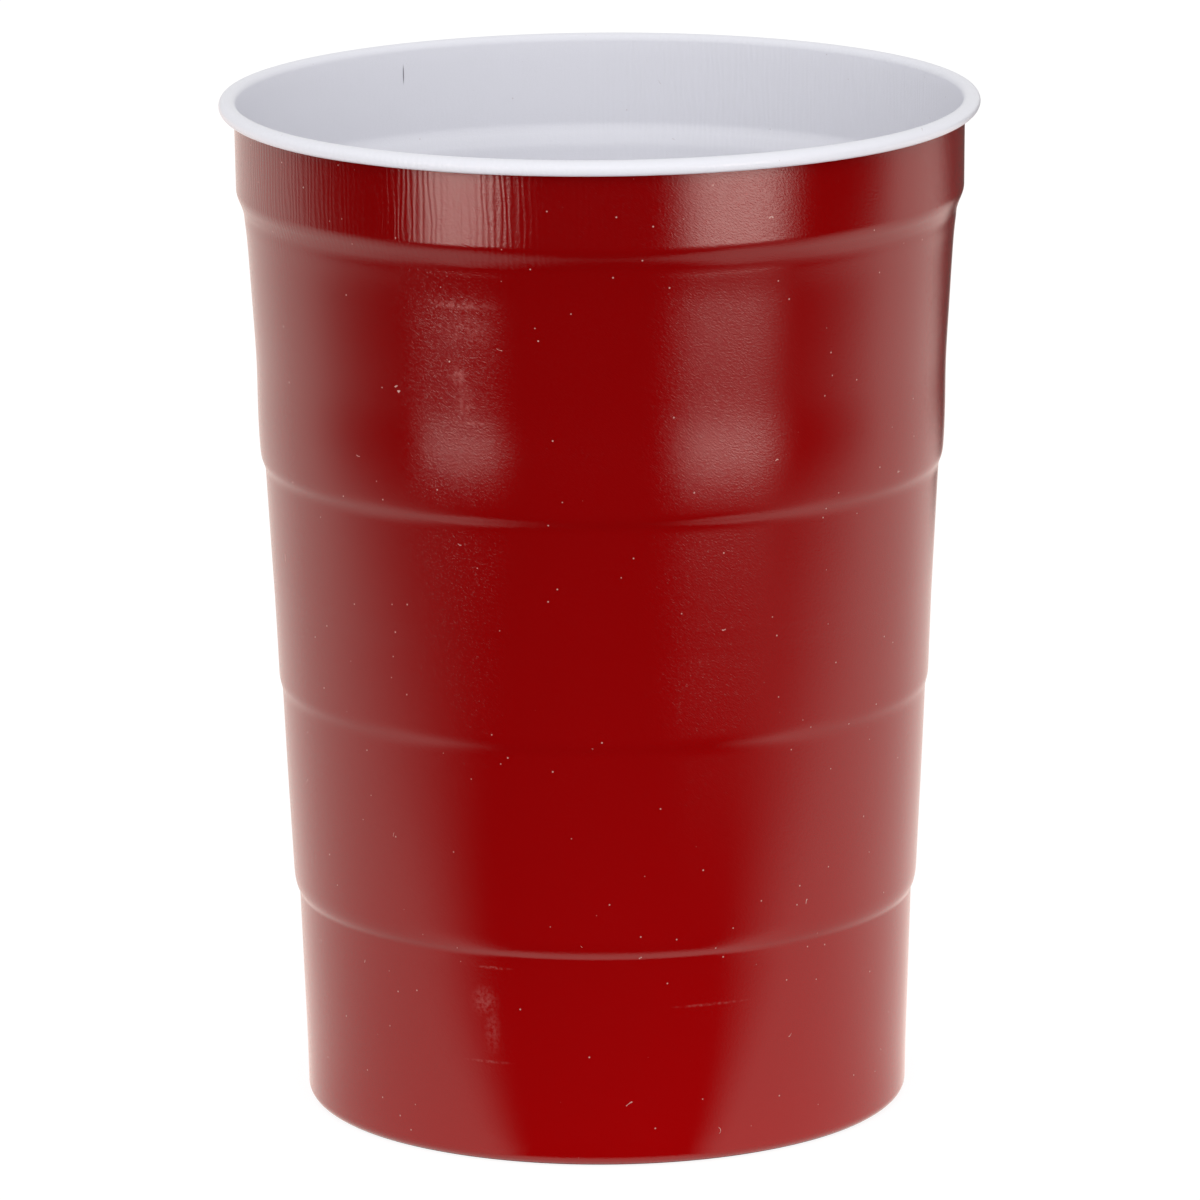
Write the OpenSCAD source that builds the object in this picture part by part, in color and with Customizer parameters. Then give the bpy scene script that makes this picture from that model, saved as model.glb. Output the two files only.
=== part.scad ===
// Steel party cup: one piece of thin sheet steel, deep drawn in steps, with its rim curled outwards.
// Origin at the middle of the foot, on the surface that the cup stands on. +Z is up. Millimetres.

/* [Cup] */
// Height from the foot to the top of the curled rim
cup_h = 120.2; // [116:0.1:135]
// Diameter over the curled rim
rim_od = 89; // [80:0.5:100]
// Thickness of the sheet
sheet_t = 0.25; // [0.2:0.01:0.4]

/* [Curled rim] */
// Outside diameter of the rolled tube that the rim is
curl_d = 2.03; // [1.6:0.01:2.6]
// Clearance between the rolled edge and the wall below it
curl_gap = 0.1; // [0.05:0.01:0.2]

/* [Neck band] */
// Height from the rim's top down to the first step
neck_h = 11.2; // [8:0.1:13]
// Lean of the neck band out from the vertical, in degrees
neck_lean = 0.7; // [0:0.05:2]

/* [First step, under the neck] */
// Height of the step
step_1_h = 2.9; // [2:0.1:3.5]
// How far the step sets the wall in
step_1_in = 0.87; // [0.4:0.01:1.5]
// Radius of the bends at both edges of the step
step_1_r = 3.4; // [2:0.1:5]

/* [Upper band] */
// Height of the band between the first and the second step
upper_h = 26.9; // [22:0.1:29]
// Lean of the band, in degrees
upper_lean = 3.4; // [1:0.05:5]
// Height of its lower part, which is steeper
upper_low_h = 9.2; // [6:0.1:12]
// Lean of its lower part, in degrees
upper_low_lean = 1.26; // [0.5:0.01:3]
// Radius of the soft bend between the two
upper_bend_r = 60; // [20:1:90]

/* [Second step] */
// Height of the step
step_2_h = 3.3; // [2.5:0.1:4]
// How far the step sets the wall in
step_2_in = 0.578; // [0.3:0.001:1]
// Radius of the bend at its upper edge
step_2_top_r = 21; // [5:1:26]
// Radius of the bend at its lower edge
step_2_low_r = 12; // [4:1:14]

/* [Middle band] */
// Height of the band between the second and the third step
middle_h = 24.6; // [20:0.1:26.5]
// Lean of the band, in degrees
middle_lean = 3.36; // [1:0.01:5]
// Height of its lower part, which is steeper
middle_low_h = 9.7; // [6:0.1:12]
// Lean of its lower part, in degrees
middle_low_lean = 2.45; // [1:0.01:5]
// Radius of the soft bend between the two
middle_bend_r = 60; // [20:1:90]

/* [Third step] */
// Height of the step
step_3_h = 2.4; // [1.8:0.1:3]
// How far the step sets the wall in
step_3_in = 0.24; // [0.15:0.01:0.6]
// Radius of the bends at both edges of the step
step_3_r = 10; // [4:1:12]

/* [Lower band] */
// Height of the band between the third and the fourth step
lower_h = 22.7; // [18:0.1:24.5]
// Lean of the band, in degrees
lower_lean = 3.13; // [1:0.01:5]

/* [Fourth step] */
// Height of the step
step_4_h = 2.1; // [1.6:0.1:2.6]
// How far the step sets the wall in
step_4_in = 0.45; // [0.2:0.01:0.9]
// Radius of the bends at both edges of the step
step_4_r = 5; // [3:0.5:8]

/* [Foot band, which takes the height that is left] */
// Lean of the band, in degrees
foot_lean = 2.35; // [1:0.01:4]
// Height of its lower part, which is steeper
foot_low_h = 6.5; // [5:0.1:8]
// Lean of its lower part, in degrees
foot_low_lean = 1.2; // [0.5:0.01:2.5]
// Radius of the soft bend between the two
foot_bend_r = 60; // [20:1:80]

/* [Foot] */
// Outside radius of the corner between the wall and the foot ring
corner_r = 1.4; // [0.8:0.1:2.5]
// Width of the flat ring that the cup stands on
ring_w = 1.3; // [0.8:0.1:3]
// How far the middle of the base is raised above the ring
panel_rise = 1.5; // [0.8:0.1:3]
// Slope of the sheet between the ring and the raised middle, in degrees
panel_slope = 50; // [35:1:70]
// Radius of the bends on both sides of that slope, on the hollow side of the sheet
panel_bend_r = 0.8; // [0.5:0.1:1.5]

/* [Hidden] */

round_steps = 180;       // facets of the whole turn, for the preview only
curl_steps = 96;         // facets of the rolled tube's section
corner_steps = 6;        // facets of a tight bend
bend_steps = 3;          // facets of a slight bend

// The rolled tube's middle
curl_r = curl_d / 2;
curl_x = rim_od / 2 - curl_r;
curl_z = cup_h - curl_r;
// The outside face of the wall where the curl begins
wall_top_x = curl_x - curl_r + sheet_t;
// Turn of the rolled edge, counted from where the curl leaves the wall, so that it clears the wall
curl_end = acos((curl_x - wall_top_x - curl_gap) / curl_r);

// Heights above the foot of each step's upper and lower edge, and of each band's soft bend
step_1_top_z = cup_h - neck_h;
step_1_low_z = step_1_top_z - step_1_h;
step_2_top_z = step_1_low_z - upper_h;
upper_bend_z = step_2_top_z + upper_low_h;
step_2_low_z = step_2_top_z - step_2_h;
step_3_top_z = step_2_low_z - middle_h;
middle_bend_z = step_3_top_z + middle_low_h;
step_3_low_z = step_3_top_z - step_3_h;
step_4_top_z = step_3_low_z - lower_h;
step_4_low_z = step_4_top_z - step_4_h;
foot_bend_z = foot_low_h;

// Radius of the outside face further down a wall that leans by an angle
function lean_in(x, from_z, to_z, lean) = x - (from_z - to_z) * tan(lean);

// Radii of the outside face at the same places, from the rim down
step_1_top_x = lean_in(wall_top_x, curl_z, step_1_top_z, neck_lean);
step_1_low_x = step_1_top_x - step_1_in;
upper_bend_x = lean_in(step_1_low_x, step_1_low_z, upper_bend_z, upper_lean);
step_2_top_x = lean_in(upper_bend_x, upper_bend_z, step_2_top_z, upper_low_lean);
step_2_low_x = step_2_top_x - step_2_in;
middle_bend_x = lean_in(step_2_low_x, step_2_low_z, middle_bend_z, middle_lean);
step_3_top_x = lean_in(middle_bend_x, middle_bend_z, step_3_top_z, middle_low_lean);
step_3_low_x = step_3_top_x - step_3_in;
step_4_top_x = lean_in(step_3_low_x, step_3_low_z, step_4_top_z, lower_lean);
step_4_low_x = step_4_top_x - step_4_in;
foot_bend_x = lean_in(step_4_low_x, step_4_low_z, foot_bend_z, foot_lean);
corner_x = lean_in(foot_bend_x, foot_bend_z, 0, foot_low_lean);

// The flat ring starts where the corner's round ends, and the slope's bend starts where the ring ends
corner_back = corner_r * tan((90 - foot_low_lean) / 2);
slope_bend_r = panel_bend_r + sheet_t;
slope_back = slope_bend_r * tan(panel_slope / 2);
slope_x = corner_x - corner_back - ring_w - slope_back;
panel_x = slope_x - panel_rise / tan(panel_slope);

// A bend's radius on a step's edge, as far as it fits on half of the step's face
function edge_r(r, step_in, step_h, lean) =
    min(r, norm([step_in, step_h]) / 2 / tan(abs(atan(step_in / step_h) - lean) / 2));

// The outside face's corner points from the middle of the base up: [radius, height, bend radius, facets]
wall_points = [
    [0, panel_rise, 0, 0],
    [panel_x, panel_rise, panel_bend_r, corner_steps],
    [slope_x, 0, slope_bend_r, corner_steps],
    [corner_x, 0, corner_r, corner_steps],
    [foot_bend_x, foot_bend_z, foot_bend_r, bend_steps],
    [step_4_low_x, step_4_low_z, edge_r(step_4_r, step_4_in, step_4_h, foot_lean), bend_steps],
    [step_4_top_x, step_4_top_z, edge_r(step_4_r, step_4_in, step_4_h, lower_lean), bend_steps],
    [step_3_low_x, step_3_low_z, edge_r(step_3_r, step_3_in, step_3_h, lower_lean), bend_steps],
    [step_3_top_x, step_3_top_z, edge_r(step_3_r, step_3_in, step_3_h, middle_low_lean), bend_steps],
    [middle_bend_x, middle_bend_z, middle_bend_r, bend_steps],
    [step_2_low_x, step_2_low_z, edge_r(step_2_low_r, step_2_in, step_2_h, middle_lean), bend_steps],
    [step_2_top_x, step_2_top_z, edge_r(step_2_top_r, step_2_in, step_2_h, upper_low_lean), bend_steps],
    [upper_bend_x, upper_bend_z, upper_bend_r, bend_steps],
    [step_1_low_x, step_1_low_z, edge_r(step_1_r, step_1_in, step_1_h, upper_lean), bend_steps],
    [step_1_top_x, step_1_top_z, edge_r(step_1_r, step_1_in, step_1_h, neck_lean), bend_steps],
    [wall_top_x, curl_z, 0, 0]
];

function unit(v) = v / norm(v);
function left_of(v) = [-v.y, v.x];
function turn_between(a, b) = atan2(a.x * b.y - a.y * b.x, a * b);
function turned(v, angle) = [v.x * cos(angle) - v.y * sin(angle), v.x * sin(angle) + v.y * cos(angle)];
function place_of(point) = [point.x, point.y];

// A corner becomes an arc: each entry is a place on the outside face and the way into the sheet there
function rounded(before, corner, after) =
    let (
        way_in = unit(place_of(corner) - place_of(before)),
        way_out = unit(place_of(after) - place_of(corner)),
        turn = turn_between(way_in, way_out),
        r = corner[2],
        start = place_of(corner) - way_in * r * tan(abs(turn) / 2),
        middle = start + left_of(way_in) * r * sign(turn)
    )
    turn == 0
        ? [[place_of(corner), left_of(way_in)]]
        : [for (i = [0 : corner[3]])
            let (inward = turned(left_of(way_in), turn * i / corner[3]))
            [middle - inward * r * sign(turn), inward]];

last = len(wall_points) - 1;
sheet_path = [
    [place_of(wall_points[0]), [0, 1]],
    for (i = [1 : last - 1])
        each rounded(wall_points[i - 1], wall_points[i], wall_points[i + 1]),
    [place_of(wall_points[last]), [-1, 0]]
];

// Half section of the base and the wall: the outside face, then the inside face back to the axis
module wall_section() {
    outside = [for (p = sheet_path) p[0]];
    inside = [for (i = [len(sheet_path) - 1 : -1 : 0]) sheet_path[i][0] + sheet_path[i][1] * sheet_t];
    polygon(concat(outside, inside));
}

// Half section of the rolled rim: a tube left open towards the wall, below the line where it begins
module curl_section() {
    far = curl_d;
    translate([curl_x, curl_z])
        difference() {
            circle(d = curl_d, $fn = curl_steps);
            circle(d = curl_d - 2 * sheet_t, $fn = curl_steps);
            polygon([[0, 0], [-far, 0], [-far, -far], [-far * cos(curl_end), -far * sin(curl_end)]]);
        }
}

// The cup: lacquered outside and inside, one sheet from the middle of the base to the rolled edge
module cup() {
    color("firebrick")
        rotate_extrude($fn = round_steps)
            union() {
                wall_section();
                curl_section();
            }
}

cup();
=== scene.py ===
"""Steel party cup: one drawn sheet, lacquered red outside and white inside, on a pale studio floor."""
import math

import bmesh
import bpy
from mathutils import Euler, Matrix, Quaternion, Vector, noise


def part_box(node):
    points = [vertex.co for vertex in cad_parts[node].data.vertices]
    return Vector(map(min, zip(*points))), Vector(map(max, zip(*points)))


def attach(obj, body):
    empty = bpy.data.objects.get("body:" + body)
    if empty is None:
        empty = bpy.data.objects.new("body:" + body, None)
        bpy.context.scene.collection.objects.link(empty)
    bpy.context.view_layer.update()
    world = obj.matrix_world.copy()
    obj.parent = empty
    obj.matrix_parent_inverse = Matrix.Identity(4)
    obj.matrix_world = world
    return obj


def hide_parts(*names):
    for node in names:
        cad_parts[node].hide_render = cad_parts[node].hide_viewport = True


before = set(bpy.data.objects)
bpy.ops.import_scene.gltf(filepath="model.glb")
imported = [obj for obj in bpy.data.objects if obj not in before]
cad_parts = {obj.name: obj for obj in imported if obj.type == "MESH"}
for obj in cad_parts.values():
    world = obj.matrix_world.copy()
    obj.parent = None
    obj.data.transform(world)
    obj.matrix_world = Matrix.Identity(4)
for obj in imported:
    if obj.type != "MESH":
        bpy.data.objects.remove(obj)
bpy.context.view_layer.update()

# The script works in millimetres and degrees, and turns them to metres and radians where Blender takes them
MM = 0.001
CUP_LOW, CUP_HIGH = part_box("cup")
CUP_H = CUP_HIGH[2] / MM
# The shell keeps this far inside the solid's box
BOX_CLEARANCE = 0.003
RIM_R = min(*CUP_HIGH[:2], -CUP_LOW[0], -CUP_LOW[1]) / MM - BOX_CLEARANCE

# The sheet and its rolled rim, whose tube is pressed a little flat
SHEET = 0.25
CURL_R, CURL_FLAT = 1.015, 0.87
CURL_GAP = 0.1
CURL_Z = CUP_H - BOX_CLEARANCE - SHEET - (CURL_R - SHEET) * CURL_FLAT
WALL_TOP_R = RIM_R - 2 * CURL_R + SHEET

# The wall's lean from the vertical, in degrees, at heights above the foot, from the rim down. Each of the
# four steps that the dies left is a soft shoulder over a tighter toe, and two faint creases go round between
NECK = ((CURL_Z, 0.7), (109.6, 0.7))
STEP_1 = ((109.45, 1.5), (109.2, 8), (108.95, 15), (108.65, 19), (108.35, 22), (108.15, 25.5), (107.95, 22),
          (107.5, 18.5), (107.1, 17), (106.9, 15), (106.75, 11), (106.55, 8.5), (106.25, 6.5), (106.0, 3.2),
          (105.75, 6.5), (105.2, 7))
UPPER_BAND = ((104.5, 6.2), (103.5, 4.9), (102.5, 4.1), (101.0, 3.7), (99.0, 3.6), (92.0, 3.4), (90.0, 2.8),
              (88.6, 1.8), (87.0, 0.9), (85.3, 0.4), (83.7, 0.8), (82.0, 1.7))
STEP_2 = ((80.4, 2.7), (79.4, 3.3), (78.6, 4.2), (78.1, 6), (77.8, 10), (77.5, 16), (77.25, 21),
          (77.05, 22.5), (76.8, 20), (76.5, 14), (76.2, 8), (75.9, 4.5), (75.6, 3.2))
MIDDLE_BAND = ((64.2, 3.0), (64.05, 1.8), (63.9, 4.4), (63.7, 3.0), (62.2, 2.9), (62.05, 2.0), (61.9, 4.0),
               (61.7, 2.9), (60.5, 2.4), (52.0, 2.2))
STEP_3 = ((51.5, 3.2), (51.2, 5), (50.9, 9), (50.6, 13.5), (50.35, 16.5), (50.1, 14), (49.8, 10), (49.5, 6.5),
          (49.2, 4), (48.8, 2.8))
LOWER_BAND = ((28.4, 2.6),)
STEP_4 = ((27.7, 3.1), (27.3, 4.4), (27.0, 6), (26.7, 8), (26.4, 10), (26.1, 14), (25.8, 20), (25.5, 26),
          (25.3, 26), (25.1, 17), (24.95, 7), (24.8, 2.3))
FOOT_BAND = ((8.0, 2.0), (5.5, 1.1), (0.0, 1.1))
WALL_LEANS = NECK + STEP_1 + UPPER_BAND + STEP_2 + MIDDLE_BAND + STEP_3 + LOWER_BAND + STEP_4 + FOOT_BAND

# The foot: a tight corner, the flat ring that the cup stands on, and the raised base inside it
FOOT_LEAN = FOOT_BAND[-1][1]
CORNER_R, RING_W = 1.4, 1.3
PANEL_RISE, PANEL_SLOPE, PANEL_BEND = 1.5, 50, 0.8

# Slow unevenness of a thin sheet: how far apart its waves are, and how far they move the wall
WAVE_LONG, WAVE_DEEP = 16.0, 0.05
WAVE_FROM, WAVE_TO, WAVE_FADE = 3.0, 115.0, 6.0
# The rim is bent down at the front by this much, as far as these turns from the front and this height
RIM_DIP, DIP_FULL, DIP_GONE = 0.42, 45.0, 105.0
DIP_FROM_Z, DIP_FULL_Z = 110.0, 117.0

# How finely the shell is drawn, and how near two of its vertices are when they become one
TURN_STEPS = 224
CURL_STEPS = 26
BEND_STEPS = 7
RING_SPACING = 2.2
MERGE_WITHIN = 0.0005


def smoothstep(value, low, high):
    """0 below low, 1 above high, and a smooth rise between them."""
    part = min(max((value - low) / (high - low), 0), 1)
    return part * part * (3 - 2 * part)


def front_turn(x, y):
    """Turn of a place round the cup, from the front, in degrees."""
    return math.degrees(math.atan2(x, -y))


def wall_places():
    """Radius and height of the outside face, from the rim down to the foot's corner."""
    radius = WALL_TOP_R
    places = [(radius, WALL_LEANS[0][0])]
    for (above, lean_above), (below, lean_below) in zip(WALL_LEANS, WALL_LEANS[1:]):
        radius -= (above - below) * math.tan(math.radians((lean_above + lean_below) / 2))
        places.append((radius, below))
    return places


def wall_radius(height):
    """Radius of the outside face at a height."""
    places = wall_places()
    for high, low in zip(places, places[1:]):
        if height >= low[1]:
            part = (height - low[1]) / (high[1] - low[1])
            return low[0] + (high[0] - low[0]) * part
    return places[-1][0]


def foot_corners():
    """Corners of the base and the foot from the axis outwards: radius, height and bend radius."""
    corner_r = wall_places()[-1][0]
    slope_bend = PANEL_BEND + SHEET
    slope_r = (corner_r - CORNER_R * math.tan(math.radians(90 - FOOT_LEAN) / 2) - RING_W
               - slope_bend * math.tan(math.radians(PANEL_SLOPE) / 2))
    panel_r = slope_r - PANEL_RISE / math.tan(math.radians(PANEL_SLOPE))
    return [
        (0, PANEL_RISE, 0),
        (panel_r, PANEL_RISE, PANEL_BEND),
        (slope_r, 0, slope_bend),
        (corner_r, 0, CORNER_R)]


def vert_at(bm, place):
    """The vertex nearest to a place."""
    return min(bm.verts, key=lambda vert: (vert.co - place).length)


def foot_face(bm):
    """A face of the flat ring that the cup stands on."""
    return min(bm.faces, key=lambda face: face.calc_center_median().z)


def cup_shell():
    """The whole cup as one spun sheet: base, foot, stepped wall and rolled rim."""
    bm = bmesh.new()
    corners = foot_corners()
    corners += [(radius, height, 0) for radius, height in reversed(wall_places()[:-1])]
    line = [bm.verts.new((radius, 0, height)) for radius, height, _ in corners]
    for low, high in zip(line, line[1:]):
        bm.edges.new((low, high))

    # Round the foot's corners: a bevel of one vertex reaches as far along its edges as an arc of that radius
    bends = []
    for index in range(1, len(corners) - 1):
        if corners[index][2]:
            before, here, after = (line[index + step].co.copy() for step in (-1, 0, 1))
            turn = (here - before).angle(after - here)
            bends.append((here, corners[index][2] * math.tan(turn / 2)))
    for place, reach in bends:
        bmesh.ops.bevel(bm, geom=[vert_at(bm, place)], affect="VERTICES", offset=reach,
                        offset_type="OFFSET", segments=BEND_STEPS, profile=0.5, material=-1)

    # Rings along the straight bands, so that their shading stays straight too
    for edge in [e for e in bm.edges if e.calc_length() > RING_SPACING]:
        bmesh.ops.subdivide_edges(bm, edges=[edge], cuts=int(edge.calc_length() / RING_SPACING))

    # Roll the rim outwards until its edge nearly meets the wall, and press it flat
    top = max(bm.verts, key=lambda vert: vert.co.z)
    gap_turn = math.acos((CURL_R - SHEET - CURL_GAP) / CURL_R)
    centre = Vector((top.co.x + CURL_R - SHEET, 0, top.co.z))
    wall = set(bm.verts)
    bmesh.ops.spin(bm, geom=[top], cent=centre, axis=(0, 1, 0), dvec=(0, 0, 0),
                   angle=2 * math.pi - gap_turn, steps=CURL_STEPS, use_duplicate=False)
    for vert in bm.verts:
        if vert not in wall:
            vert.co.z = centre.z + (vert.co.z - centre.z) * CURL_FLAT

    bmesh.ops.spin(bm, geom=bm.verts[:] + bm.edges[:], cent=(0, 0, 0), axis=(0, 0, 1), dvec=(0, 0, 0),
                   angle=2 * math.pi, steps=TURN_STEPS, use_merge=True, use_duplicate=False)
    bmesh.ops.remove_doubles(bm, verts=bm.verts[:], dist=MERGE_WITHIN)
    bmesh.ops.recalc_face_normals(bm, faces=bm.faces[:])
    return bm


def settle_wall(bm):
    """Moves the wall in and out by a few hundredths of a millimetre, as a thin drawn sheet springs back, and
    bends the rim down at the front."""
    for vert in bm.verts:
        fade = min(vert.co.z - WAVE_FROM, WAVE_TO - vert.co.z) / WAVE_FADE
        if fade > 0:
            wave = noise.noise(vert.co / WAVE_LONG)
            way_out = Vector((vert.co.x, vert.co.y, 0)).normalized()
            vert.co += way_out * WAVE_DEEP * min(fade, 1) * wave
        turn = abs(front_turn(vert.co.x, vert.co.y))
        dip = RIM_DIP * (1 - smoothstep(turn, DIP_FULL, DIP_GONE))
        vert.co.z -= dip * smoothstep(vert.co.z, DIP_FROM_Z, DIP_FULL_Z)


def shell_piece():
    """The finished sheet as one object: red lacquer on the outside faces, white on the inside ones."""
    bm = cup_shell()
    settle_wall(bm)
    if foot_face(bm).normal.z > 0:
        bmesh.ops.reverse_faces(bm, faces=bm.faces[:])
    outside = set(bm.faces)
    bmesh.ops.solidify(bm, geom=bm.faces[:], thickness=SHEET)
    for face in bm.faces:
        face.smooth = True
        face.material_index = 0 if face in outside else 1
    bmesh.ops.scale(bm, vec=(MM, MM, MM), verts=bm.verts[:])
    return as_object(bm, "cup_shell")


def as_object(bm, name):
    """Ends a bmesh as an object of the scene."""
    mesh = bpy.data.meshes.new(name)
    bm.to_mesh(mesh)
    bm.free()
    made = bpy.data.objects.new(name, mesh)
    bpy.context.scene.collection.objects.link(made)
    return made


def linear(hex_colour):
    """An sRGB hex colour as the linear colour that shaders take."""
    parts = [int(hex_colour[i:i + 2], 16) / 255 for i in (1, 3, 5)]
    return [p / 12.92 if p <= 0.04045 else ((p + 0.055) / 1.055) ** 2.4 for p in parts] + [1]


def add_node(tree, kind, settings=None, inputs=None):
    """Adds a node with its settings, and sets or links its inputs."""
    node = tree.nodes.new("ShaderNode" + kind)
    for name, value in (settings or {}).items():
        setattr(node, name, value)
    for name, value in (inputs or {}).items():
        if isinstance(value, bpy.types.NodeSocket):
            tree.links.new(value, node.inputs[name])
        else:
            node.inputs[name].default_value = value
    return node


def empty_material(name):
    """A node material with no nodes yet, and its node tree."""
    material = bpy.data.materials.new(name)
    material.use_nodes = True
    material.node_tree.nodes.clear()
    return material, material.node_tree


def lacquer_material(name):
    """An empty material with the cup's own coordinates and height, both in mm."""
    material, tree = empty_material(name)
    where = add_node(tree, "TexCoord")
    in_mm = add_node(tree, "VectorMath", {"operation": "SCALE"}, {
        0: where.outputs["Object"], "Scale": 1 / MM})
    place = in_mm.outputs["Vector"]
    height = add_node(tree, "SeparateXYZ", {}, {0: place}).outputs["Z"]
    return material, tree, place, height


# Orange peel of the sprayed lacquer. Its ripples are about half a millimetre apart and lie on a slant,
# because the sheet turned as it was drawn: PEEL_SLANT is radians of turn for each mm of height. PEEL_FINE is
# how many finer ripples are mixed in
PEEL_W, PEEL_SLANT, PEEL_LONG = 0.18, 0.025, 0.8
PEEL_DEEP, PEEL_FINE = 0.017, 1.5


def orange_peel(tree, place, height):
    """Relief of the lacquer's fine slanting ripples, in mm."""
    turn = add_node(tree, "Math", {"operation": "MULTIPLY"}, {0: height, 1: PEEL_SLANT})
    turned = add_node(tree, "VectorRotate", {"rotation_type": "Z_AXIS"},
                      {"Vector": place, "Angle": turn.outputs[0]})
    drawn = add_node(tree, "VectorMath", {"operation": "MULTIPLY"},
                     {0: turned.outputs[0], 1: (1 / PEEL_W, 1 / PEEL_W, PEEL_LONG / PEEL_W)})
    ripples = add_node(tree, "TexNoise", {}, {"Vector": drawn.outputs[0], "Scale": 1.0, "Detail": PEEL_FINE})
    relief = add_node(tree, "Math", {"operation": "MULTIPLY"}, {0: ripples.outputs["Fac"], 1: PEEL_DEEP})
    return relief.outputs[0]


# Draw marks: upright ribs about 0.75 mm apart where the sheet slid over the die's edge, strong at the rim,
# on one side of the front and across from it, where the sheet was clamped hardest. RIB_STRAY is how far they
# stray from even spacing, where 2 pi is one rib's width
RIB_COUNT, RIB_DEEP = 357, 0.005
RIB_WANDER, RIB_LONG, RIB_STRAY, RIB_FINE = 1.6, 0.22, 11.0, 1.0
RIBS_GONE, RIBS_FULL = 100, 113
RIBS_TURN, RIBS_HALF_FULL, RIBS_HALF_GONE, RIBS_ELSEWHERE = -38.0, 26.0, 44.0, 0.06


def draw_marks(tree, place, height):
    """Relief of the upright ribs under the rim, in mm."""
    axes = add_node(tree, "SeparateXYZ", {}, {0: place})
    turn = add_node(tree, "Math", {"operation": "ARCTAN2"}, {0: axes.outputs["Y"], 1: axes.outputs["X"]})
    drawn = add_node(tree, "VectorMath", {"operation": "MULTIPLY"},
                     {0: place, 1: (1 / RIB_WANDER, 1 / RIB_WANDER, RIB_LONG / RIB_WANDER)})
    stray = add_node(tree, "TexNoise", {}, {"Vector": drawn.outputs[0], "Scale": 1.0, "Detail": RIB_FINE})
    stray = add_node(tree, "Math", {"operation": "MULTIPLY"}, {0: stray.outputs["Fac"], 1: RIB_STRAY})
    phase = add_node(tree, "Math", {"operation": "MULTIPLY_ADD"}, {
        0: turn.outputs[0], 1: RIB_COUNT, 2: stray.outputs[0]})
    ribs = add_node(tree, "Math", {"operation": "SINE"}, {0: phase.outputs[0]})
    depth = add_node(tree, "MapRange", {"interpolation_type": "SMOOTHSTEP"}, {
        "Value": height, "From Min": RIBS_GONE, "From Max": RIBS_FULL, "To Min": 0.0, "To Max": RIB_DEEP})
    level = add_node(tree, "VectorMath", {"operation": "MULTIPLY"}, {0: place, 1: (1, 1, 0)})
    way = add_node(tree, "VectorMath", {"operation": "NORMALIZE"}, {0: level.outputs[0]})
    clamped = (math.sin(math.radians(RIBS_TURN)), -math.cos(math.radians(RIBS_TURN)), 0)
    near = add_node(tree, "VectorMath", {"operation": "DOT_PRODUCT"}, {0: way.outputs[0], 1: clamped})
    either = add_node(tree, "Math", {"operation": "ABSOLUTE"}, {0: near.outputs["Value"]})
    where = add_node(tree, "MapRange", {"interpolation_type": "SMOOTHSTEP"}, {
        "Value": either.outputs[0], "From Min": math.cos(math.radians(RIBS_HALF_GONE)),
        "From Max": math.cos(math.radians(RIBS_HALF_FULL)), "To Min": RIBS_ELSEWHERE, "To Max": 1.0})
    depth = add_node(tree, "Math", {"operation": "MULTIPLY"}, {0: depth.outputs[0], 1: where.outputs[0]})
    relief = add_node(tree, "Math", {"operation": "MULTIPLY"}, {0: ribs.outputs[0], 1: depth.outputs[0]})
    return relief.outputs[0]


# Dust: specks about 0.2 mm across, some millimetres apart, and a few short curled fibres, which lie along the
# line where a soft noise has its middle value
SPECK_APART, SPECK_R, SPECK_CORE = 2.3, 0.12, 0.5
FIBRE_APART, FIBRE_REACH, FIBRE_CURL, FIBRE_W = 8.0, 0.45, 1.4, 0.012
NOISE_MIDDLE = 0.5


def dust(tree, place):
    """How much dust lies at a place, from 0 to 1."""
    specks = add_node(tree, "TexVoronoi", {}, {"Vector": place, "Scale": 1 / SPECK_APART})
    speck = add_node(tree, "MapRange", {}, {
        "Value": specks.outputs["Distance"], "From Min": SPECK_R / SPECK_APART,
        "From Max": SPECK_R / SPECK_APART * SPECK_CORE, "To Min": 0.0, "To Max": 1.0})
    tufts = add_node(tree, "TexVoronoi", {}, {"Vector": place, "Scale": 1 / FIBRE_APART})
    near = add_node(tree, "Math", {"operation": "LESS_THAN"},
                    {0: tufts.outputs["Distance"], 1: FIBRE_REACH / FIBRE_APART})
    curls = add_node(tree, "TexNoise", {}, {"Vector": place, "Scale": 1 / FIBRE_CURL, "Detail": 0.0})
    off = add_node(tree, "Math", {"operation": "COMPARE"}, {
        0: curls.outputs["Fac"], 1: NOISE_MIDDLE, 2: FIBRE_W})
    fibre = add_node(tree, "Math", {"operation": "MULTIPLY"}, {0: near.outputs[0], 1: off.outputs[0]})
    either = add_node(tree, "Math", {"operation": "MAXIMUM"}, {0: speck.outputs[0], 1: fibre.outputs[0]})
    return either.outputs[0]


def soft_spot(tree, place, turn, height, half_w, half_h, core, inset=0):
    """A soft round or long spot on the wall: 1 in its core, which is a share of its size, and 0 outside."""
    radius = wall_radius(height) - inset
    centre = (radius * math.sin(math.radians(turn)), -radius * math.cos(math.radians(turn)), height)
    away = add_node(tree, "VectorMath", {"operation": "SUBTRACT"}, {0: place, 1: centre})
    away = add_node(tree, "VectorMath", {"operation": "DIVIDE"}, {
        0: away.outputs[0], 1: (half_w, half_w, half_h)})
    away = add_node(tree, "VectorMath", {"operation": "LENGTH"}, {0: away.outputs[0]})
    spot = add_node(tree, "MapRange", {"interpolation_type": "SMOOTHSTEP"}, {
        "Value": away.outputs["Value"], "From Min": 1.0, "From Max": core, "To Min": 0.0, "To Max": 1.0})
    return spot.outputs[0]


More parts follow.
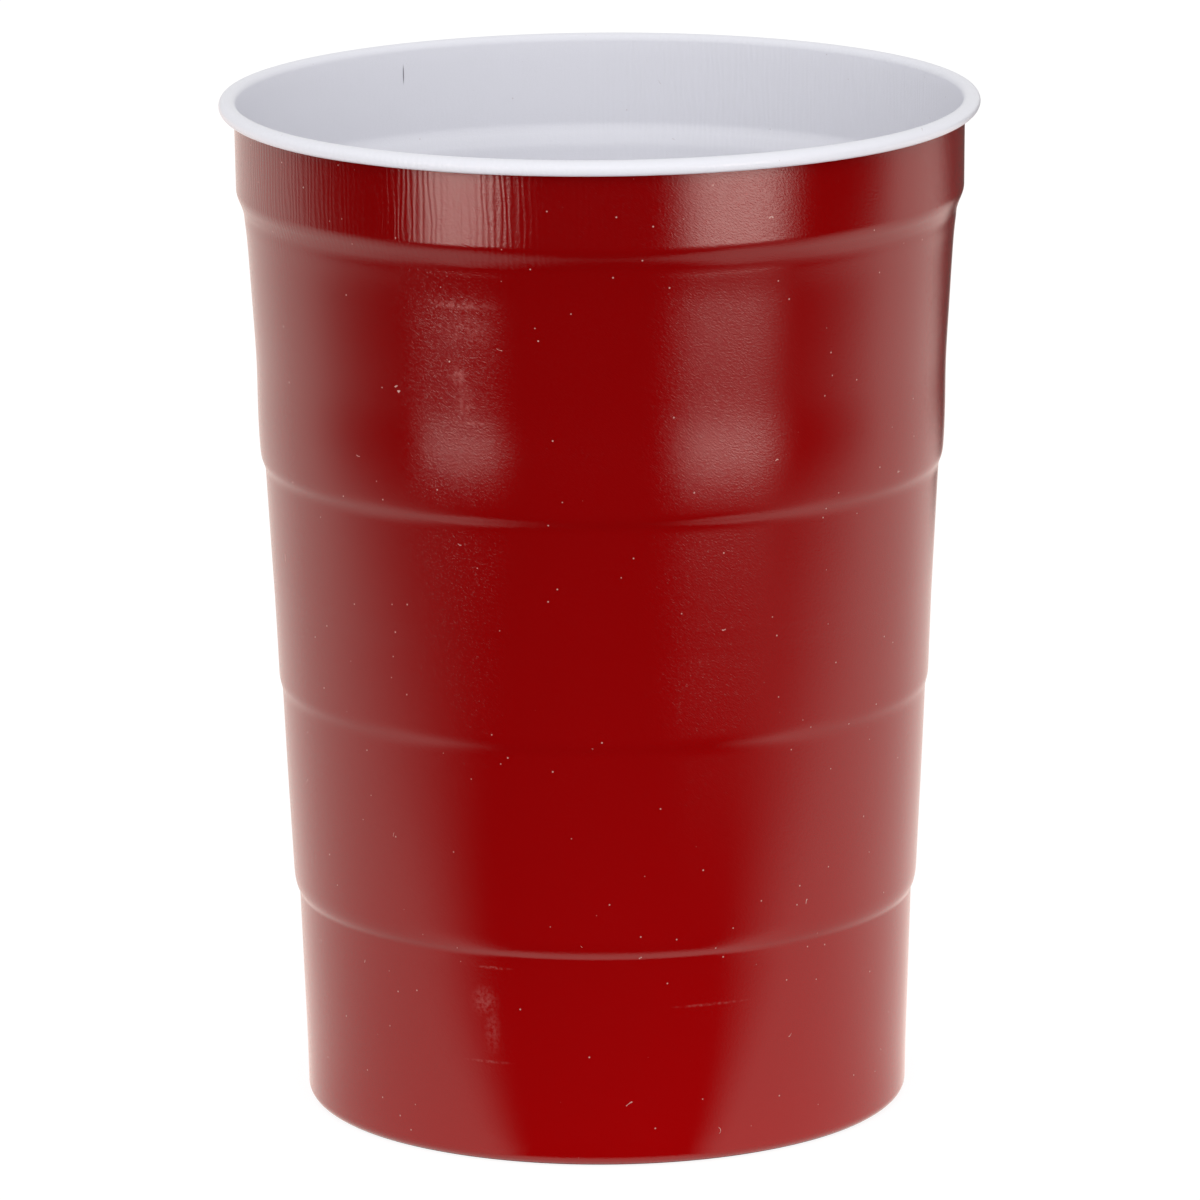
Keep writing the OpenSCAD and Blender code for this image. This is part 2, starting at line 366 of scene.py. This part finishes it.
# Rub marks from other cups, each by its turn from the front, height, half width, half height and strength
RUB_MARKS = (
    (-22.5, 102.3, 5.2, 0.7, 0.4),
    (-22.0, 99.5, 4.5, 2.6, 0.2),
    (-23.5, 94.0, 1.6, 1.8, 0.45),
    (-22.5, 91.0, 1.5, 3.2, 0.3),
    (-21.5, 88.6, 3.4, 0.22, 0.5),
    (-23.0, 19.5, 2.2, 2.4, 0.35),
    (-21.5, 16.0, 1.3, 3.6, 0.25),
    (-21.0, 23.6, 2.8, 0.25, 0.5),
    (-22.5, 12.2, 3.8, 0.25, 0.35),
    (19.5, 19.1, 6.0, 0.25, 0.35),
)
RUB_GRAIN, RUB_FINE, RUB_CORE = 0.45, 3.0, 0.1
RUB_GRAIN_LOW, RUB_GRAIN_HIGH = 0.3, 0.75


def rub_marks(tree, place):
    """How much the lacquer is rubbed at a place, from 0 to 1."""
    most = None
    for turn, height, half_w, half_h, strength in RUB_MARKS:
        spot = soft_spot(tree, place, turn, height, half_w, half_h, RUB_CORE)
        spot = add_node(tree, "Math", {"operation": "MULTIPLY"}, {0: spot, 1: strength}).outputs[0]
        if most is None:
            most = spot
        else:
            most = add_node(tree, "Math", {"operation": "MAXIMUM"}, {0: most, 1: spot}).outputs[0]
    grain = add_node(tree, "TexNoise", {}, {"Vector": place, "Scale": 1 / RUB_GRAIN, "Detail": RUB_FINE})
    patches = add_node(tree, "MapRange", {"interpolation_type": "SMOOTHSTEP"}, {
        "Value": grain.outputs["Fac"], "From Min": RUB_GRAIN_LOW, "From Max": RUB_GRAIN_HIGH,
        "To Min": 0.0, "To Max": 1.0})
    return add_node(tree, "Math", {"operation": "MULTIPLY"}, {0: most, 1: patches.outputs[0]}).outputs[0]


# Red lacquer. Its colour is painted lighter near the foot and darker towards the rim: painted light from the
# # pale floor on the lower wall, and painted shade higher up. It is also painted lighter on the right, seen
# from
# # the front, and darker on the left: painted side light. Below, the first line gives the red at the foot and
# at
# # the rim and how the shade spreads between them; the second, how much lighter that side is, and how much
# # darker the other
RED_LOW, RED_HIGH, RIM_SHADE_POWER = "#a00002", "#780001", 0.45
SIDE_LIGHT_PAINTED = 0.15
RUBBED, DUST = "#b0605c", "#c09088"
GLOSS_ROUGHNESS, RUBBED_ROUGHNESS = 0.1, 0.45
LACQUER_IOR = 1.5


def red_lacquer():
    """Red stoving lacquer sprayed on tinplate and drawn with it: a gloss coat whose fine ripples break up
    the lights that it mirrors, ribbed under the rim, with dust and rub marks."""
    material, tree, place, height = lacquer_material("red_lacquer")
    relief = add_node(tree, "Math", {"operation": "ADD"}, {
        0: orange_peel(tree, place, height), 1: draw_marks(tree, place, height)})
    bump = add_node(tree, "Bump", {}, {"Height": relief.outputs[0], "Distance": MM})

    # Painted shade: the red grows darker from the foot towards the rim
    depth = add_node(tree, "MapRange", {}, {"Value": height, "From Min": 0.0, "From Max": CUP_H})
    depth = add_node(tree, "Math", {"operation": "POWER"}, {0: depth.outputs[0], 1: RIM_SHADE_POWER})
    red = add_node(tree, "Mix", {"data_type": "RGBA"}, {
        0: depth.outputs[0], 6: linear(RED_LOW), 7: linear(RED_HIGH)})
    # Painted side light: the red is lighter on the right side, seen from the front, and darker on the left
    across = add_node(tree, "SeparateXYZ", {}, {0: place}).outputs["X"]
    coat = add_node(tree, "MapRange", {}, {
        "Value": across, "From Min": -RIM_R, "From Max": RIM_R,
        "To Min": 1 - SIDE_LIGHT_PAINTED, "To Max": 1 + SIDE_LIGHT_PAINTED})
    red = add_node(tree, "HueSaturation", {}, {"Value": coat.outputs[0], "Color": red.outputs[2]})
    rubbed = rub_marks(tree, place)
    worn = add_node(tree, "Mix", {"data_type": "RGBA"}, {0: rubbed, 6: red.outputs[0], 7: linear(RUBBED)})
    dusted = dust(tree, place)
    colour = add_node(tree, "Mix", {"data_type": "RGBA"}, {0: dusted, 6: worn.outputs[2], 7: linear(DUST)})
    dull = add_node(tree, "Math", {"operation": "MAXIMUM"}, {0: rubbed, 1: dusted})
    roughness = add_node(tree, "MapRange", {}, {
        "Value": dull.outputs[0], "To Min": GLOSS_ROUGHNESS, "To Max": RUBBED_ROUGHNESS})
    shader = add_node(tree, "BsdfPrincipled", {}, {
        "Base Color": colour.outputs[2], "Roughness": roughness.outputs[0], "IOR": LACQUER_IOR,
        "Normal": bump.outputs["Normal"]})
    add_node(tree, "OutputMaterial", {}, {"Surface": shader.outputs["BSDF"]})
    return material


# White lacquer, whose ribs show WHITE_RIBS times as deep, dust on it, and one short dark hair high on the
# inside of the back
WHITE, WHITE_DUST, HAIR = "#e3e3ea", "#cfcacf", "#7c7780"
WHITE_ROUGHNESS, WHITE_RIBS = 0.28, 1.8
HAIR_TURN, HAIR_Z, HAIR_HALF_W, HAIR_HALF_H, HAIR_CORE = 213.8, 116.6, 0.11, 1.5, 0.4


def white_lacquer():
    """White stoving lacquer inside and over the rolled rim: a satin coat with the same ripples and ribs."""
    material, tree, place, height = lacquer_material("white_lacquer")
    relief = add_node(tree, "Math", {"operation": "MULTIPLY_ADD"}, {
        0: draw_marks(tree, place, height), 1: WHITE_RIBS, 2: orange_peel(tree, place, height)})
    bump = add_node(tree, "Bump", {}, {"Height": relief.outputs[0], "Distance": MM})
    dusty = add_node(tree, "Mix", {"data_type": "RGBA"}, {
        0: dust(tree, place), 6: linear(WHITE), 7: linear(WHITE_DUST)})
    hair = soft_spot(tree, place, HAIR_TURN, HAIR_Z, HAIR_HALF_W, HAIR_HALF_H, HAIR_CORE, SHEET)
    colour = add_node(tree, "Mix", {"data_type": "RGBA"}, {0: hair, 6: dusty.outputs[2], 7: linear(HAIR)})
    shader = add_node(tree, "BsdfPrincipled", {}, {
        "Base Color": colour.outputs[2], "Roughness": WHITE_ROUGHNESS, "IOR": LACQUER_IOR,
        "Normal": bump.outputs["Normal"]})
    add_node(tree, "OutputMaterial", {}, {"Surface": shader.outputs["BSDF"]})
    return material


cup = shell_piece()
cup.data.materials.append(red_lacquer())
cup.data.materials.append(white_lacquer())
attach(cup, "root")
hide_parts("cup")

# The floor, pale paper that the camera sees burnt out to white
FLOOR_HALF = 6000
FLOOR_WHITE, FLOOR_LIFT, BURNT_WHITE = 0.86, 0.8, 1.12


def studio_floor():
    """A wide sheet of pale paper."""
    bm = bmesh.new()
    bmesh.ops.create_grid(bm, x_segments=1, y_segments=1, size=FLOOR_HALF * MM)
    floor = as_object(bm, "floor")
    material, tree = empty_material("floor_paper")
    paper = add_node(tree, "BsdfDiffuse", {}, {"Color": (FLOOR_WHITE, FLOOR_WHITE, FLOOR_WHITE, 1)})
    burnt = add_node(tree, "Emission", {}, {"Color": (1, 1, 1, 1), "Strength": BURNT_WHITE})
    seen = add_node(tree, "LightPath")
    lift = add_node(tree, "Math", {"operation": "MULTIPLY"}, {
        0: seen.outputs["Is Camera Ray"], 1: FLOOR_LIFT})
    mixed = add_node(tree, "MixShader", {}, {0: lift.outputs[0], 1: paper.outputs[0], 2: burnt.outputs[0]})
    add_node(tree, "OutputMaterial", {}, {"Surface": mixed.outputs[0]})
    floor.data.materials.append(material)


# What the gloss mirrors, painted as the glow of a disc that only gloss sees: a table lit from behind the cup
# # that falls off to dark in front, painted reflections of two soft boxes that stand in front of it, left and
# # right, and dark behind on the right. Lengths are from the axis. The light is a little warm, as the paper
# # takes on some of the cup's red
GLOW_RINGS, GLOW_GROWTH, GLOW_NEAR, GLOW_Z = 44, 1.105, 34.0, 0.3
GLOW_TURN_STEPS = 180
GLOW_COLOUR = (1.2, 1.0, 0.92, 1)
NEAR_REACH, NEAR_POWER = -14.5, 0.355
FAR_EDGE, FAR_RISE_LEFT, FAR_RISE_RIGHT = -200.0, 0.55, 0.46
EDGE_BLEND, EDGE_SOFT_PER, EDGE_SOFT_MOST = 25.0, 450.0, 130.0
# How bright the lit part is beside the cup, how much brighter further back, and darker again behind
LIT_BESIDE, LIT_BACK, LIT_BEHIND = 0.92, 0.14, -0.16
BACK_TURNS, BEHIND_TURNS = (60.0, 110.0), (130.0, 160.0)
# Each soft box: its turn from the front, half width, softness of its sides, brightness at its foot, which is
# BOX_FAR from the axis, and how fast that falls towards the cup
SOFT_BOXES = ((-43, 12, 7, 6.3, 10.5), (42.7, 14.7, 8, 5.4, 4.3))
BOX_FAR = 560.0
# The dark behind on the right: its edge, softness, where it begins, and how dark it is
DARK_EDGE, DARK_RISE, DARK_SOFT, DARK_FROM, DARK_FULL, DARK_MOST = 241.0, 0.4, 40.0, 60.0, 140.0, 0.9
# The light patch at the cup's foot, which shows only where the table is seen from steeply above
PATCH_FULL, PATCH_GONE, PATCH_FLAT, PATCH_STEEP = 52.0, 62.0, 0.45, 0.2
# What the first step sees of the table in front of the cup: a reach of the table that shows only from more
# and more steeply above towards the middle, and how bright it is at the middle and to the sides
FRONT_RANGE, FRONT_MIDDLE, FRONT_SIDES, FRONT_TURNS = (86.0, 106.0), 0.38, 0.85, (8.0, 50.0)
FRONT_STEEP, FRONT_FLATTER, FRONT_FLAT_TURN, FRONT_SOFT = 0.14, 0.24, 42.0, 0.03
# With this blend a Layer Weight node's Facing is 1 less the cosine of the angle of view, so 0 from above
PLAIN_BLEND = 0.5


def table_glow(x, y):
    """How bright the cup's gloss finds the table at a place."""
    away = math.hypot(x, y)
    near = NEAR_REACH * abs(x) ** NEAR_POWER
    far = FAR_EDGE + abs(x) * (FAR_RISE_LEFT if x < 0 else FAR_RISE_RIGHT)
    edge = max(near, far) + EDGE_BLEND * math.log1p(math.exp(-abs(near - far) / EDGE_BLEND))
    soft = min(away * away / EDGE_SOFT_PER, EDGE_SOFT_MOST)
    turn = front_turn(x, y)
    lit = (LIT_BESIDE + LIT_BACK * smoothstep(abs(turn), *BACK_TURNS)
           + LIT_BEHIND * smoothstep(abs(turn), *BEHIND_TURNS))
    dark = smoothstep(y - DARK_EDGE - DARK_RISE * x, -DARK_SOFT, DARK_SOFT)
    dark *= smoothstep(x, DARK_FROM, DARK_FULL)
    glow = lit * smoothstep(y - edge, -soft, soft) * (1 - DARK_MOST * dark)
    for middle, half, blur, bright, power in SOFT_BOXES:
        beside = smoothstep(half + blur - abs(turn - middle), 0, 2 * blur)
        glow += beside * bright * min(away / BOX_FAR, 1) ** power
    return glow


def table_sheen():
    """The table as the gloss finds it: a disc just over the floor that only gloss sees."""
    bm = bmesh.new()
    near = bm.verts.new((GLOW_NEAR, 0, 0))
    radius = GLOW_NEAR
    for _ in range(GLOW_RINGS):
        radius *= GLOW_GROWTH
        far = bm.verts.new((radius, 0, 0))
        bm.edges.new((near, far))
        near = far
    bmesh.ops.spin(bm, geom=bm.verts[:] + bm.edges[:], cent=(0, 0, 0), axis=(0, 0, 1), dvec=(0, 0, 0),
                   angle=2 * math.pi, steps=GLOW_TURN_STEPS, use_merge=True, use_duplicate=False)
    glow = bm.verts.layers.float.new("glow")
    patch = bm.verts.layers.float.new("patch")
    front = bm.verts.layers.float.new("front")
    shown = bm.verts.layers.float.new("shown")
    for vert in bm.verts:
        turn = abs(front_turn(vert.co.x, vert.co.y))
        bright = FRONT_MIDDLE + (FRONT_SIDES - FRONT_MIDDLE) * smoothstep(turn, *FRONT_TURNS)
        vert[glow] = table_glow(vert.co.x, vert.co.y)
        vert[patch] = 1 - smoothstep(vert.co.length, PATCH_FULL, PATCH_GONE)
        vert[front] = bright * smoothstep(vert.co.length, *FRONT_RANGE)
        vert[shown] = FRONT_STEEP + FRONT_FLATTER * min(turn / FRONT_FLAT_TURN, 1) ** 2
        vert.co = Vector((vert.co.x * MM, vert.co.y * MM, GLOW_Z * MM))
    sheen = as_object(bm, "table_sheen")
    sheen.visible_camera = False
    sheen.visible_diffuse = False
    sheen.visible_shadow = False
    material, tree = empty_material("table_sheen")
    material.cycles.emission_sampling = "NONE"
    lit, foot, ahead, shown_from = (
        add_node(tree, "Attribute", {"attribute_name": name}).outputs["Fac"]
        for name in ("glow", "patch", "front", "shown"))
    flat = add_node(tree, "LayerWeight", {}, {"Blend": PLAIN_BLEND}).outputs["Facing"]
    steep = add_node(tree, "MapRange", {"interpolation_type": "SMOOTHSTEP"}, {
        "Value": flat, "From Min": PATCH_FLAT, "From Max": PATCH_STEEP})
    foot_lit = add_node(tree, "Math", {"operation": "MULTIPLY"}, {0: foot, 1: steep.outputs[0]})
    past = add_node(tree, "Math", {"operation": "SUBTRACT"}, {0: shown_from, 1: flat})
    seen = add_node(tree, "MapRange", {"interpolation_type": "SMOOTHSTEP"}, {
        "Value": past.outputs[0], "From Min": -FRONT_SOFT, "From Max": FRONT_SOFT})
    front_lit = add_node(tree, "Math", {"operation": "MULTIPLY"}, {0: ahead, 1: seen.outputs[0]})
    strength = add_node(tree, "Math", {"operation": "MAXIMUM"}, {
        0: foot_lit.outputs[0], 1: front_lit.outputs[0]})
    strength = add_node(tree, "Math", {"operation": "MAXIMUM"}, {0: lit, 1: strength.outputs[0]})
    light = add_node(tree, "Emission", {}, {"Color": GLOW_COLOUR, "Strength": strength.outputs[0]})
    add_node(tree, "OutputMaterial", {}, {"Surface": light.outputs[0]})
    sheen.data.materials.append(material)


# The lights, one in front and two low behind, left and right: place in metres, side in metres and power in
# watts. The gloss doesn't mirror them, because the table's glow holds all that it mirrors
FRONT_BOX = ((0.05, -1.4, 0.8), 1.2, 9.2)
LEFT_BOX = ((-1.6, 1.0, 0.2), 0.8, 3.0)
RIGHT_BOX = ((1.7, 0.8, 0.2), 0.8, 1.0)
LIT_MIDDLE = Vector((0, 0, 0.06))


def soft_box(name, place, side, power):
    """A square soft light aimed at the middle of the cup."""
    box = bpy.data.objects.new(name, bpy.data.lights.new(name, "AREA"))
    bpy.context.scene.collection.objects.link(box)
    box.data.size = side
    box.data.energy = power
    box.location = place
    box.rotation_mode = "QUATERNION"
    box.rotation_quaternion = (LIT_MIDDLE - box.location).to_track_quat("-Z", "Y")
    box.visible_glossy = False


studio_floor()
table_sheen()
soft_box("front_box", *FRONT_BOX)
soft_box("left_box", *LEFT_BOX)
soft_box("right_box", *RIGHT_BOX)

# The studio's white walls, as even light from all sides
WALL_STRENGTH = 0.82
world = bpy.data.worlds.new("studio")
world.use_nodes = True
world.node_tree.nodes["Background"].inputs["Color"].default_value = (1, 1, 1, 1)
world.node_tree.nodes["Background"].inputs["Strength"].default_value = WALL_STRENGTH
scene = bpy.context.scene
scene.world = world
scene.view_settings.view_transform = "Standard"

# The camera: metres, degrees below level and of roll, millimetres of lens and sensor, and how many metres
# it sees
CAMERA_AT = (-0.00039, -1.05555, 0.29802)
CAMERA_DOWN, CAMERA_ROLL = 12.7386, -0.4538
CAMERA_LENS, CAMERA_SENSOR, CAMERA_SEES_TO = 274.56, 36, 50
camera = bpy.data.objects.new("camera", bpy.data.cameras.new("camera"))
scene.collection.objects.link(camera)
camera.data.sensor_width = CAMERA_SENSOR
camera.data.lens = CAMERA_LENS
camera.data.clip_end = CAMERA_SEES_TO
camera.location = CAMERA_AT
camera.rotation_mode = "QUATERNION"
camera.rotation_quaternion = (Euler((math.radians(90 - CAMERA_DOWN), 0, 0)).to_quaternion()
                              @ Quaternion((0, 0, 1), math.radians(CAMERA_ROLL)))
scene.camera = camera
